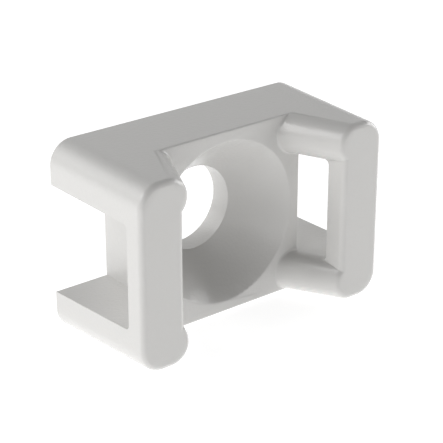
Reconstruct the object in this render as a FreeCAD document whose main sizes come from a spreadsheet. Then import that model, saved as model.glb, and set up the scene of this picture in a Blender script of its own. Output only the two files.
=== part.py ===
import FreeCAD, Part
import Sketcher
import os

os.makedirs("parts", exist_ok=True)
doc = FreeCAD.newDocument("CableTieMount")

# A saddle-shaped cable tie mount, moulded in one piece. The mounting face is the plane y = 0 and the
# screw hole is the Y axis. Cables lie along Z in the cradle, which opens towards -Y, and a tie passes
# behind each bar at the ends. Lengths are in millimetres and angles in degrees.
sizes = {
    "overall_length": 24.4,        # end to end along X, at the mounting face
    "overall_height": 15.8,        # along Z, at the mounting face
    "overall_depth": 11.0,         # mounting face to the front of the bars
    "corner_radius": 1.9,          # the four corners seen from the front
    "outer_draft": 1.8,            # lean of the four outer sides
    "slot_height": 9.0,            # clear height of a tie slot, at the mounting face
    "slot_draft": 1.5,             # lean of the slot walls and of the block's ends
    "block_length": 14.76,         # block between the two slots, at the mounting face
    "block_depth": 6.0,            # mounting face to the floor of the cradle
    "cradle_floor_length": 10.5,   # between the arms, at the floor of the cradle
    "arm_length": 4.23,            # end face to an arm's inner side, at the front
    "arm_flat": 0.14,              # what the two rounds leave flat on an arm's inner side
    "bar_depth": 1.7,              # thickness of a bar, front to back
    "bar_setback": 0.35,           # from an arm's inner side back to the bar's, at the front
    "bar_draft": 6.0,              # lean of a bar's inner side
    "hole_diameter": 7.1,          # clear hole for an M6 or quarter-inch screw
    "countersink_diameter": 13.6,
    "countersink_angle": 77.0,
    "front_round": 0.5,            # front edges of the arms and of the bars
    "slot_corner_round": 0.4,      # inside corners between a bar's back and the slot walls
    "rim_round": 0.25,             # rim of the countersink
    "floor_edge_round": 0.15,      # long edges of the cradle floor
}

sheet = doc.addObject("Spreadsheet::Sheet", "Sizes")
for row, (alias, number) in enumerate(sizes.items(), start=1):
    sheet.set("A%d" % row, alias)
    sheet.set("B%d" % row, str(number))
    sheet.setAlias("B%d" % row, alias)
doc.recompute()

# Derived sizes, as expressions on the sheet.
half_length = "Sizes.overall_length / 2"
half_height = "Sizes.overall_height / 2"
half_block = "Sizes.block_length / 2"
half_slot = "Sizes.slot_height / 2"
half_floor = "Sizes.cradle_floor_length / 2"
half_depth = "Sizes.overall_depth / 2"
bar_back = "(Sizes.overall_depth - Sizes.bar_depth)"
arm_middle = "(Sizes.overall_depth + Sizes.block_depth) / 2"
overrun = "Sizes.overall_depth / 10"
root_share = 0.8            # of the arms' rounds, that the bars' ends reach in
plane_tolerance = 0.01      # for what lies in the front plane
least_tolerance = 0.000001  # for the edges of the finished solid
most_tolerance = 0.001


def value(expression):
    result = sheet.evalExpression(expression)
    return getattr(result, "Value", result)


def leaned(start, depth, draft):
    # a half size at some depth, where it is smaller than at the mounting face by the mould's draft
    return "(%s - %s * tan(Sizes.%s * 1 deg))" % (start, depth, draft)


front_half_length = leaned(half_length, "Sizes.overall_depth", "outer_draft")
front_half_height = leaned(half_height, "Sizes.overall_depth", "outer_draft")
front_half_slot = leaned(half_slot, "Sizes.overall_depth", "slot_draft")
half_mouth = "(%s - Sizes.arm_length)" % front_half_length
arm_round = "(%s - %s - Sizes.arm_flat) / 2" % (front_half_height, front_half_slot)
bar_root = "%s * (%s)" % (root_share, arm_round)
bar_inner_front = "(%s + Sizes.bar_setback)" % half_mouth
bar_inner_back = "(%s - Sizes.bar_depth * tan(Sizes.bar_draft * 1 deg))" % bar_inner_front


def both_ways(x, y, z):
    return [(x, y, z), ("-" + x, y, "-" + z)]


def four_ways(x, y, z):
    return [(sx + x, y, sz + z) for sx in ("", "-") for sz in ("", "-")]


def rectangle(left, right, bottom, top):
    return [(left, bottom), (right, bottom), (right, top), (left, top)]


def both_ends(corners):
    # an outline at the +X end and its mirror image at the -X end
    return corners, [("-(%s)" % x, y) for x, y in corners]


body = doc.addObject("PartDesign::Body", "tie_mount")
body.Label = "tie_mount"
body.Placement = FreeCAD.Placement()


def origin_feature(role):
    return [feature for feature in body.Origin.OriginFeatures if feature.Role == role][0]


def new_sketch(name, plane, distance="0"):
    sketch = body.newObject("Sketcher::SketchObject", name)
    sketch.AttachmentSupport = [(origin_feature(plane), "")]
    sketch.MapMode = "FlatFace"
    sketch.setExpression("AttachmentOffset.Base.z", distance)
    return sketch


def draw_outline(sketch, corners):
    # closed outline of straight lines, each corner held at two expressions from the sketch's origin
    points = [FreeCAD.Vector(value(x), value(y), 0) for x, y in corners]
    lines = [sketch.addGeometry(Part.LineSegment(start, end), False)
             for start, end in zip(points, points[1:] + points[:1])]
    for line, following in zip(lines, lines[1:] + lines[:1]):
        sketch.addConstraint(Sketcher.Constraint("Coincident", line, 2, following, 1))
    for line, corner in zip(lines, corners):
        for direction, expression in zip(("DistanceX", "DistanceY"), corner):
            held = Sketcher.Constraint(direction, -1, 1, line, 1, value(expression))
            sketch.setExpression("Constraints[%d]" % sketch.addConstraint(held), expression)
    return lines


def round_corners(sketch, lines, radius):
    # the corner where each line starts; its sharp point stays, and the lines are still held by it
    for line in lines:
        doc.recompute()
        arc = len(sketch.Geometry)
        sketch.fillet(line, 1, value(radius), True, True)
        held = sketch.addConstraint(Sketcher.Constraint("Radius", arc, value(radius)))
        sketch.setExpression("Constraints[%d]" % held, radius)


def nearest(elements, point):
    probe = Part.Vertex(*[value(coordinate) for coordinate in point])
    gaps = [element.distToShape(probe)[0] for element in elements]
    return gaps.index(min(gaps)) + 1


def faces_near(points):
    return sorted({"Face%d" % nearest(body.Shape.Faces, point) for point in points})


def edges_near(points):
    return sorted({"Edge%d" % nearest(body.Shape.Edges, point) for point in points})


def add_feature(kind, name):
    # the next feature of the body, with the one before it
    base = body.Tip
    return body.newObject("PartDesign::" + kind, name), base


def finish_feature(feature, base, change):
    # recompute, and make sure that the feature adds (+1) or removes (-1) material
    doc.recompute()
    volume = base.Shape.Volume if base else 0.0
    if (feature.Shape.Volume - volume) * change <= 0:
        raise RuntimeError(feature.Name + " doesn't change the body as meant")


def extrude(kind, name, sketch, length, change, side="One side"):
    # a pad (+1) or a pocket (-1); a one-sided one runs from the sketch towards the front
    feature, base = add_feature(kind, name)
    feature.Profile = sketch
    feature.SideType = side
    feature.Reversed = kind == "Pocket" and side == "One side"
    feature.setExpression("Length", length)
    finish_feature(feature, base, change)


def lean_faces(name, faces, angle, change):
    # the mould's draft: faces turn about the lines where they meet the mounting face
    feature, base = add_feature("Draft", name)
    feature.Base = (base, faces)
    feature.NeutralPlane = (origin_feature("XZ_Plane"), [""])
    feature.PullDirection = (origin_feature("Y_Axis"), [""])
    feature.Reversed = change < 0
    feature.setExpression("Angle", angle)
    doc.recompute()
    feature.touch()     # the first pass finds the faces and the second leans them
    finish_feature(feature, base, change)


def round_edges(name, edges, radius, change=-1):
    feature, base = add_feature("Fillet", name)
    feature.Base = (base, edges)
    feature.setExpression("Radius", radius)
    finish_feature(feature, base, change)


# The whole mount as a block that leans in towards the front, with its four corners rounded.
outline = new_sketch("BlankOutline", "XZ_Plane")
draw_outline(outline, rectangle("-" + half_length, half_length, "-" + half_height, half_height))
extrude("Pad", "Blank", outline, "Sizes.overall_depth", +1)
sides = both_ways(half_length, "-" + half_depth, "0") + both_ways("0", "-" + half_depth, half_height)
lean_faces("OuterDraft", faces_near(sides), "Sizes.outer_draft", -1)
corners = four_ways(leaned(half_length, half_depth, "outer_draft"), "-" + half_depth,
                    leaned(half_height, half_depth, "outer_draft"))
round_edges("CornerRound", edges_near(corners), "Sizes.corner_radius")

# The cradle: a trough along Z whose sides flare out to the front.
outline = new_sketch("CradleSection", "XY_Plane")
draw_outline(outline, [("-" + half_floor, "-Sizes.block_depth"), (half_floor, "-Sizes.block_depth"),
                       (half_mouth, "-Sizes.overall_depth"), ("-" + half_mouth, "-Sizes.overall_depth")])
extrude("Pocket", "Cradle", outline, "Sizes.overall_height + 2 * " + overrun, -1, side="Symmetric")

# The two tie slots, cored from the mounting face, and the space between the arms beyond the block.
outline = new_sketch("SlotOutline", "XZ_Plane")
for corners in both_ends(rectangle(half_block, half_length + " + " + overrun, "-" + half_slot, half_slot)):
    draw_outline(outline, corners)
extrude("Pocket", "Slots", outline, "Sizes.overall_depth + " + overrun, -1)
outline = new_sketch("WindowOutline", "XZ_Plane", "Sizes.block_depth")
draw_outline(outline, rectangle("-" + half_length, half_length, "-" + half_slot, half_slot))
extrude("Pocket", "Window", outline, "Sizes.overall_depth - Sizes.block_depth + " + overrun, -1)
slot_walls = four_ways("(%s + %s) / 2" % (half_block, half_length), "-" + half_depth, half_slot)
block_ends = both_ways(half_block, "-Sizes.block_depth / 2", "0")
lean_faces("SlotDraft", faces_near(slot_walls + block_ends), "Sizes.slot_draft", +1)

# Each arm's inner side is rounded along its outer edge and along its slot edge, nearly to a half round.
arm_inner = "(%s + %s) / 2" % (half_floor, half_mouth)
outer_edges = four_ways(arm_inner, "-" + arm_middle, leaned(half_height, arm_middle, "outer_draft"))
slot_edges = four_ways(arm_inner, "-" + arm_middle, leaned(half_slot, arm_middle, "slot_draft"))
round_edges("ArmRound", edges_near(outer_edges + slot_edges), arm_round)

# Front edges, all the way round the front of each arm.
front_y = -value("Sizes.overall_depth") + plane_tolerance
front_edges = ["Edge%d" % number for number, edge in enumerate(body.Shape.Edges, start=1)
               if edge.BoundBox.YMax < front_y]
round_edges("FrontRound", front_edges, "Sizes.front_round")

# The bars that join the arms at the ends, flush with the leaning end faces and with the arms' front round
# along both their front edges. They run into the arms past what the rounds of the slot edges take away.
outline = new_sketch("BarSection", "XY_Plane")
bar_section = [(bar_inner_back, "-" + bar_back),
               (leaned(half_length, bar_back, "outer_draft"), "-" + bar_back),
               (front_half_length, "-Sizes.overall_depth"), (bar_inner_front, "-Sizes.overall_depth")]
for corners in both_ends(bar_section):
    lines = draw_outline(outline, corners)
    round_corners(outline, lines[2:], "Sizes.front_round")
extrude("Pad", "Bars", outline, "2 * (%s + %s)" % (front_half_slot, bar_root), +1, side="Symmetric")

# The countersunk screw hole through the block.
outline = new_sketch("HoleCentre", "XZ_Plane", "Sizes.block_depth")
circle = outline.addGeometry(Part.Circle(FreeCAD.Vector(), FreeCAD.Vector(0, 0, 1), 1.0), False)
outline.addConstraint(Sketcher.Constraint("Coincident", circle, 3, -1, 1))
radius = outline.addConstraint(Sketcher.Constraint("Radius", circle, 1.0))
outline.setExpression("Constraints[%d]" % radius, "Sizes.hole_diameter / 2")
doc.recompute()
hole, base = add_feature("Hole", "ScrewHole")
hole.Profile = outline
hole.ThreadType = "None"
hole.DepthType = "ThroughAll"
hole.HoleCutType = "Countersink"
hole.HoleCutCustomValues = True
hole.setExpression("Diameter", "Sizes.hole_diameter")
hole.setExpression("HoleCutDiameter", "Sizes.countersink_diameter")
hole.setExpression("HoleCutCountersinkAngle", "Sizes.countersink_angle")
finish_feature(hole, base, -1)

# Inside corners of the slots, where the back of each bar meets the slot walls.
corners = four_ways("(%s + %s) / 2" % (half_length, bar_inner_back), "-" + bar_back,
                    leaned(half_slot, bar_back, "slot_draft"))
round_edges("SlotCornerRound", edges_near(corners), "Sizes.slot_corner_round", +1)

# Rim of the countersink, and the long edges of the cradle floor.
rim = [("Sizes.countersink_diameter / 2", "-Sizes.block_depth", "0")]
round_edges("RimRound", edges_near(rim), "Sizes.rim_round")
floor_edges = both_ways("0", "-Sizes.block_depth", leaned(half_height, "Sizes.block_depth", "outer_draft"))
round_edges("FloorEdgeRound", edges_near(floor_edges), "Sizes.floor_edge_round")

# Nothing is written unless every object is sound and the mount is one valid solid. At some sizes a round
# ends a few hundredths of a micron off its neighbours, so each edge's tolerance is first set to what it is.
failed = [item.Name for item in doc.Objects if {"Invalid", "Error"} & set(item.State)]
if failed:
    raise RuntimeError("failed objects: " + ", ".join(failed))
if body.Shape.isNull():
    raise RuntimeError(body.Label + " has no shape")
mount = body.Shape.copy()
mount.fix(least_tolerance, least_tolerance, most_tolerance)
if not mount.isValid() or len(mount.Solids) != 1:
    raise RuntimeError(body.Label + " isn't one valid solid")
mount.exportStep("parts/%s.step" % body.Label)
print(body.Label, "volume %.1f mm3" % mount.Volume, "faces %d" % len(mount.Faces))
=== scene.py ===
import math

import bmesh
import bpy
import numpy as np
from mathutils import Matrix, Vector


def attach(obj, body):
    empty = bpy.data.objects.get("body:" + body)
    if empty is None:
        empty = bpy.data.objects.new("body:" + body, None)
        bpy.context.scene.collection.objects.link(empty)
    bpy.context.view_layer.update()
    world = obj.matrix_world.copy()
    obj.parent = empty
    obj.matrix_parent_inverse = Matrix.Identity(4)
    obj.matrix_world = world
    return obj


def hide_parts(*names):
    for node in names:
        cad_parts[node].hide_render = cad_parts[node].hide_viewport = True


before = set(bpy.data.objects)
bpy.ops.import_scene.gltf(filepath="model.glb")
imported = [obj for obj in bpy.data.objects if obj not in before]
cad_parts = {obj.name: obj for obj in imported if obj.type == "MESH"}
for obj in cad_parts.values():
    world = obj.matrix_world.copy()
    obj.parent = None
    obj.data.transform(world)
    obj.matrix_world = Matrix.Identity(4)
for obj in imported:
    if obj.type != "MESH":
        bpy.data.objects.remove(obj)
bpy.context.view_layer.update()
scene = bpy.context.scene
scene.view_settings.view_transform = "Standard"
millimetre = 0.001
print("frame loaded")


def linearColour(hexColour):
    # an sRGB hex colour as linear red, green, blue and alpha
    channels = [int(hexColour[place:place + 2], 16) / 255 for place in (1, 3, 5)]
    return [c / 12.92 if c <= 0.04045 else ((c + 0.055) / 1.055) ** 2.4 for c in channels] + [1.0]


def addNode(tree, kind, settings=None, links=None):
    # a node with its settings and links; a setting goes to the node's attribute of that name, or else to the
    # socket of that name
    node = tree.nodes.new(kind)
    for name, setting in (settings or {}).items():
        if hasattr(node, name):
            setattr(node, name, setting)
        else:
            node.inputs[name].default_value = setting
    for name, source in (links or {}).items():
        tree.links.new(source, node.inputs[name])
    return node


def newMaterial(name):
    material = bpy.data.materials.new(name)
    material.use_nodes = True
    material.node_tree.nodes.clear()
    return material, material.node_tree


def addObject(name, data):
    piece = bpy.data.objects.new(name, data)
    scene.collection.objects.link(piece)
    return piece


# Nylon, injection moulded in a spark-eroded tool: an even, slightly milky off-white with a satin sheen that
# shows as soft bright lines along the small rounds. The eroded tool leaves a fine pebbled grain, which the
# nylon fills more in some spots than in others, so the sheen is faintly uneven close up. The real grain is
# some 0.05 across and is drawn coarser, so that it shows. Sizes in millimetres.
nylon = {
    "colour": "#C6C5C3",
    "roughness": (0.235, 0.27),    # where the nylon fills the grain least and most
    "ior": 1.53,
    "grainSize": 0.28,
    "grainHeight": 0.022,
    "spotSize": 0.9,
    "spotRange": (0.3, 0.7),       # what the spots' noise mostly stays within
}


def makeNylon(name, finish):
    material, tree = newMaterial(name)
    place = addNode(tree, "ShaderNodeTexCoord").outputs["Object"]
    spotScale = 1 / (finish["spotSize"] * millimetre)
    grainScale = 1 / (finish["grainSize"] * millimetre)
    spots = addNode(tree, "ShaderNodeTexNoise", {"Scale": spotScale}, {"Vector": place})
    grain = addNode(tree, "ShaderNodeTexNoise", {"Scale": grainScale}, {"Vector": place})
    pebbles = addNode(tree, "ShaderNodeBump", {"Distance": finish["grainHeight"] * millimetre},
                      {"Height": grain.outputs["Fac"]})
    sheen = addNode(tree, "ShaderNodeMapRange", {
        "From Min": finish["spotRange"][0],
        "From Max": finish["spotRange"][1],
        "To Min": finish["roughness"][0],
        "To Max": finish["roughness"][1],
    }, {"Value": spots.outputs["Fac"]})
    surface = addNode(tree, "ShaderNodeBsdfPrincipled", {
        "Base Color": linearColour(finish["colour"]),
        "IOR": finish["ior"],
    }, {"Roughness": sheen.outputs["Result"], "Normal": pebbles.outputs["Normal"]})
    addNode(tree, "ShaderNodeOutputMaterial", links={"Surface": surface.outputs["BSDF"]})
    return material


mount = {
    "mergeDistance": 0.0005 * millimetre,
    "sharpAngle": math.radians(28),    # the least turn between two faces that is kept as an edge
}


def makeMount(node, form):
    # the node's mesh with its loose triangles joined, shaded smooth across its rounds and sharp at its edges
    mesh = node.data.copy()
    mesh.name = "cable_tie_mount"
    joined = bmesh.new()
    joined.from_mesh(mesh)
    bmesh.ops.remove_doubles(joined, verts=joined.verts, dist=form["mergeDistance"])
    joined.to_mesh(mesh)
    joined.free()
    mesh.attributes.remove(mesh.attributes["custom_normal"])
    mesh.shade_smooth()
    mesh.set_sharp_from_angle(angle=form["sharpAngle"])
    piece = addObject("cable_tie_mount", mesh)
    evenShading = piece.modifiers.new("evenShading", "WEIGHTED_NORMAL")
    evenShading.keep_sharp = True
    mesh.materials.clear()
    mesh.materials.append(makeNylon("mouldedNylon", nylon))
    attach(piece, "root")
    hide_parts("tie_mount")


makeMount(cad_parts["tie_mount"], mount)
print("mount made")

# Where an arm rises from the cradle's floor the moulding has a small fillet, all round the arm's inner side
# and on along the slot's wall to the end of the block. Sizes in millimetres: first the fillet's own, then the
# mount's, half sizes from its middle and at the mounting face unless noted, depths from that face.
armRoot = {
    "radius": 0.22,
    "leastRadius": 0.022,      # the fillet ends where its radius falls below this
    "leastRise": 0.01,         # as a share of the radius, so that no step divides by nothing
    "buried": 0.05,            # how far the fillet's back goes into the mount
    "stepsAlong": 28,          # round each of the arm's two edges
    "stepsAcross": 9,
    "halfLength": 12.2,
    "halfHeight": 7.9,
    "outerDraft": math.radians(1.8),
    "halfSlot": 4.5,
    "halfBlock": 7.38,
    "slotDraft": math.radians(1.5),
    "floorDepth": 6.0,
    "halfFloor": 5.25,         # from the middle to an arm, at the cradle's floor
    "floorEdgeRound": 0.15,
    "mouthDepth": 11.0,
    "armLength": 4.23,         # from the end to the arm's inner side, at the cradle's mouth
    "armRound": 1.601,
}


def unit(vectors):
    # each vector divided by its length
    return vectors / np.linalg.norm(vectors, axis=-1, keepdims=True)


def turn(first, last, share):
    # directions that turn evenly from first to last as share goes from 0 to 1
    angle = np.arccos(np.sum(first * last, axis=-1, keepdims=True))
    return (np.sin((1 - share) * angle) * first + np.sin(share * angle) * last) / np.sin(angle)


def roundAtFloor(side, inner, corner, form):
    # where the round between an arm's side and its inner face meets the floor: the ball's centre plus its
    # radius along each direction between the two faces' normals, slid along the arm's edge to the floor
    radius = form["armRound"]
    normals = turn(side, inner, np.linspace(0, 1, form["stepsAlong"])[:, None])
    centre = corner - radius * (side + inner) / (1 + side @ inner)
    along = unit(np.cross(side, inner))
    points = centre + radius * normals
    points += (-form["floorDepth"] - points[:, 1:2]) / along[1] * along
    return points, normals


def armRootFillet(form):
    # a ball's cut carried round the arm's foot: at each point of the foot, the ball that touches both the
    # floor and the arm, from one touch to the other; it shrinks to nothing where the floor ends at its outer
    # edge
    depth = form["floorDepth"]
    halfMouth = form["halfLength"] - form["mouthDepth"] * math.tan(form["outerDraft"]) - form["armLength"]
    flare = (halfMouth - form["halfFloor"]) / (form["mouthDepth"] - depth)
    floor = np.array([0.0, -1.0, 0.0])
    inner = unit(np.array([-1.0, -flare, 0.0]))
    outer = unit(np.array([0.0, -math.tan(form["outerDraft"]), 1.0]))
    wall = unit(np.array([0.0, math.tan(form["slotDraft"]), -1.0]))
    outerTop = form["halfHeight"] - depth * math.tan(form["outerDraft"])
    wallTop = form["halfSlot"] - depth * math.tan(form["slotDraft"])
    blockEnd = form["halfBlock"] + depth * math.tan(form["slotDraft"])
    lower, lowerNormals = roundAtFloor(wall, inner, np.array([form["halfFloor"], -depth, wallTop]), form)
    upper, upperNormals = roundAtFloor(outer, inner, np.array([form["halfFloor"], -depth, outerTop]), form)
    foot = np.vstack([[[blockEnd, -depth, wallTop]], lower, upper[::-1]])
    normals = np.vstack([[wall], lowerNormals, upperNormals[::-1]])
    middle = (floor + normals) / (1 + normals @ floor)[:, None]
    rise = np.maximum((middle - floor)[:, 2], form["leastRise"])
    space = (outerTop - form["floorEdgeRound"] - foot[:, 2]) / rise
    radius = np.minimum(form["radius"], space)
    kept = radius > form["leastRadius"]
    foot, normals, middle, radius = foot[kept], normals[kept], middle[kept], radius[kept][:, None]
    share = np.linspace(0, 1, form["stepsAcross"])[None, :, None]
    touch = turn(np.broadcast_to(floor, normals.shape)[:, None, :], normals[:, None, :], share)
    ball = (foot + radius * middle)[:, None, :] - radius[:, :, None] * touch
    back = (foot - form["buried"] * (floor + normals))[:, None, :]
    return np.concatenate([ball, back], axis=1)


def tubeFaces(rings, sides, first):
    # quads between each ring of points and the next, all round, and the two ends
    ring = np.arange(rings - 1)[:, None] * sides
    side = np.arange(sides)[None, :]
    following = (side + 1) % sides
    quads = np.stack([ring + side, ring + following, ring + sides + following, ring + sides + side], axis=-1)
    ends = [first + np.arange(sides), first + (rings - 1) * sides + np.arange(sides)]
    return (quads.reshape(-1, 4) + first).tolist() + [end.tolist() for end in ends]


def makeArmRootFillets(form):
    # the same fillet at all four arms, mirrored from end to end and from top to bottom
    fillet = armRootFillet(form)
    rings, sides = fillet.shape[:2]
    points, faces = [], []
    for mirror in ((1, 1, 1), (-1, 1, 1), (1, 1, -1), (-1, 1, -1)):
        faces += tubeFaces(rings, sides, len(points) * rings * sides)
        points.append(fillet.reshape(-1, 3) * np.array(mirror) * millimetre)
    mesh = bpy.data.meshes.new("arm_root_fillets")
    mesh.from_pydata(np.vstack(points).tolist(), [], faces)
    shell = bmesh.new()
    shell.from_mesh(mesh)
    bmesh.ops.recalc_face_normals(shell, faces=shell.faces)
    shell.to_mesh(mesh)
    shell.free()
    mesh.shade_smooth()
    mesh.set_sharp_from_angle(angle=mount["sharpAngle"])
    mesh.materials.append(bpy.data.materials["mouldedNylon"])
    piece = addObject("arm_root_fillets", mesh)
    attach(piece, "root")


makeArmRootFillets(armRoot)
print("arm root fillets made")


def lightAndLook(tree, light, look):
    # a strength that is "look" to the eye, straight, in a mirror or through glass, and "light" where it
    # lights things
    rays = addNode(tree, "ShaderNodeLightPath")
    mirrored = addNode(tree, "ShaderNodeMath", {"operation": "MAXIMUM"},
                       {0: rays.outputs["Is Camera Ray"], 1: rays.outputs["Is Glossy Ray"]})
    seen = addNode(tree, "ShaderNodeMath", {"operation": "MAXIMUM"},
                   {0: mirrored.outputs["Value"], 1: rays.outputs["Is Transmission Ray"]})
    strength = addNode(tree, "ShaderNodeMapRange", {"To Min": light}, {"Value": seen.outputs["Value"]})
    if isinstance(look, float):
        strength.inputs["To Max"].default_value = look
    else:
        tree.links.new(look, strength.inputs["To Max"])
    return strength.outputs["Result"]


# the table that the mount stands on; its side and the lamps' reach on it are in metres
table = {
    "height": -7.9 * millimetre,
    "side": 4.0,
    "colour": "#A9A9A9",
    "glow": 1.35,                 # what lights the mount
    "seenGlow": (0.83, 1.0),      # what the eye sees, near the mount and far out
    "lampsReach": (0.1, 0.6),
}


def makeTable(form):
    # a light table of opal glass: it glows nearly white, and the lamps' light on it, less the shadow, adds
    # the rest; further out, where the lamps' light thins, the glow that the eye sees goes up to white
    half, height = form["side"] / 2, form["height"]
    mesh = bpy.data.meshes.new("table")
    corners = [(-half, -half, height), (half, -half, height), (half, half, height), (-half, half, height)]
    mesh.from_pydata(corners, [], [(0, 1, 2, 3)])
    material, tree = newMaterial("opalGlass")
    skin = addNode(tree, "ShaderNodeBsdfDiffuse", {"Color": linearColour(form["colour"])})
    place = addNode(tree, "ShaderNodeTexCoord").outputs["Object"]
    distance = addNode(tree, "ShaderNodeVectorMath", {"operation": "LENGTH"}, {"Vector": place})
    seen = addNode(tree, "ShaderNodeMapRange", {
        "From Min": form["lampsReach"][0],
        "From Max": form["lampsReach"][1],
        "To Min": form["seenGlow"][0],
        "To Max": form["seenGlow"][1],
    }, {"Value": distance.outputs["Value"]})
    strength = lightAndLook(tree, form["glow"], seen.outputs["Result"])
    glow = addNode(tree, "ShaderNodeEmission", links={"Strength": strength})
    both = addNode(tree, "ShaderNodeAddShader", links={0: skin.outputs["BSDF"], 1: glow.outputs["Emission"]})
    addNode(tree, "ShaderNodeOutputMaterial", links={"Surface": both.outputs["Shader"]})
    mesh.materials.append(material)
    addObject("table", mesh)


makeTable(table)
print("table made")

# where the photograph was taken from; the lens and the sensor in millimetres, as Blender counts them
photoView = {
    "target": Vector((0.578, -4.74, -0.433)) * millimetre,
    "distance": 122.48 * millimetre,
    "azimuth": math.radians(-39.03),
    "elevation": math.radians(23.575),
    "lens": 125.0,
    "sensor": 36.0,
    "nearest": 5 * millimetre,
}


def makeCamera(view):
    # a camera at its distance from the target, turned to it; azimuth 0 is straight in front of the mount
    back = Vector((math.sin(view["azimuth"]) * math.cos(view["elevation"]),
                   -math.cos(view["azimuth"]) * math.cos(view["elevation"]),
                   math.sin(view["elevation"])))
    lens = bpy.data.cameras.new("camera")
    lens.lens = view["lens"]
    lens.sensor_width = view["sensor"]
    lens.clip_start = view["nearest"]
    camera = addObject("camera", lens)
    camera.location = view["target"] + back * view["distance"]
    camera.rotation_euler = back.to_track_quat("Z", "Y").to_euler()
    scene.camera = camera


makeCamera(photoView)

# soft boxes round the table, most of them at the back and the left; the width and height of each and their
# distance are in metres, their power in watts
lamps = {
    "left": {"towards": (-0.96, -0.15, 0.24), "power": 0.3, "size": (0.57, 0.18)},
    "leftHigh": {"towards": (-0.76, 0.2, 0.6), "power": 0.8, "size": (0.28, 0.2)},
    "back": {"towards": (-0.04, 0.95, 0.3), "power": 0.74, "size": (0.26, 0.18)},
    "backLeft": {"towards": (-0.42, 0.78, 0.44), "power": 0.2, "size": (0.28, 0.2)},
    "right": {"towards": (0.95, -0.2, 0.28), "power": 1.03, "size": (0.34, 0.22)},
}
lampDistance = 0.4


def makeLamp(name, lamp):
    # a soft box that way from the mount, at the lamps' distance, turned to face it
    light = bpy.data.lights.new(name, "AREA")
    light.shape = "RECTANGLE"
    light.size, light.size_y = lamp["size"]
    light.energy = lamp["power"]
    towards = Vector(lamp["towards"]).normalized()
    stand = addObject(name, light)
    stand.location = towards * lampDistance
    stand.rotation_euler = towards.to_track_quat("Z", "Y").to_euler()


for name, lamp in lamps.items():
    makeLamp(name, lamp)

room = {
    "walls": 0.0,       # what lights the mount
    "backdrop": 1.0,    # what the eye sees
}


def makeRoom(form):
    # a dark room round the light table, which the eye sees as a white backdrop
    world = bpy.data.worlds.new("room")
    scene.world = world
    world.use_nodes = True
    tree = world.node_tree
    tree.nodes.clear()
    strength = lightAndLook(tree, form["walls"], form["backdrop"])
    walls = addNode(tree, "ShaderNodeBackground", links={"Strength": strength})
    addNode(tree, "ShaderNodeOutputWorld", links={"Surface": walls.outputs["Background"]})


makeRoom(room)
print("lamps set")
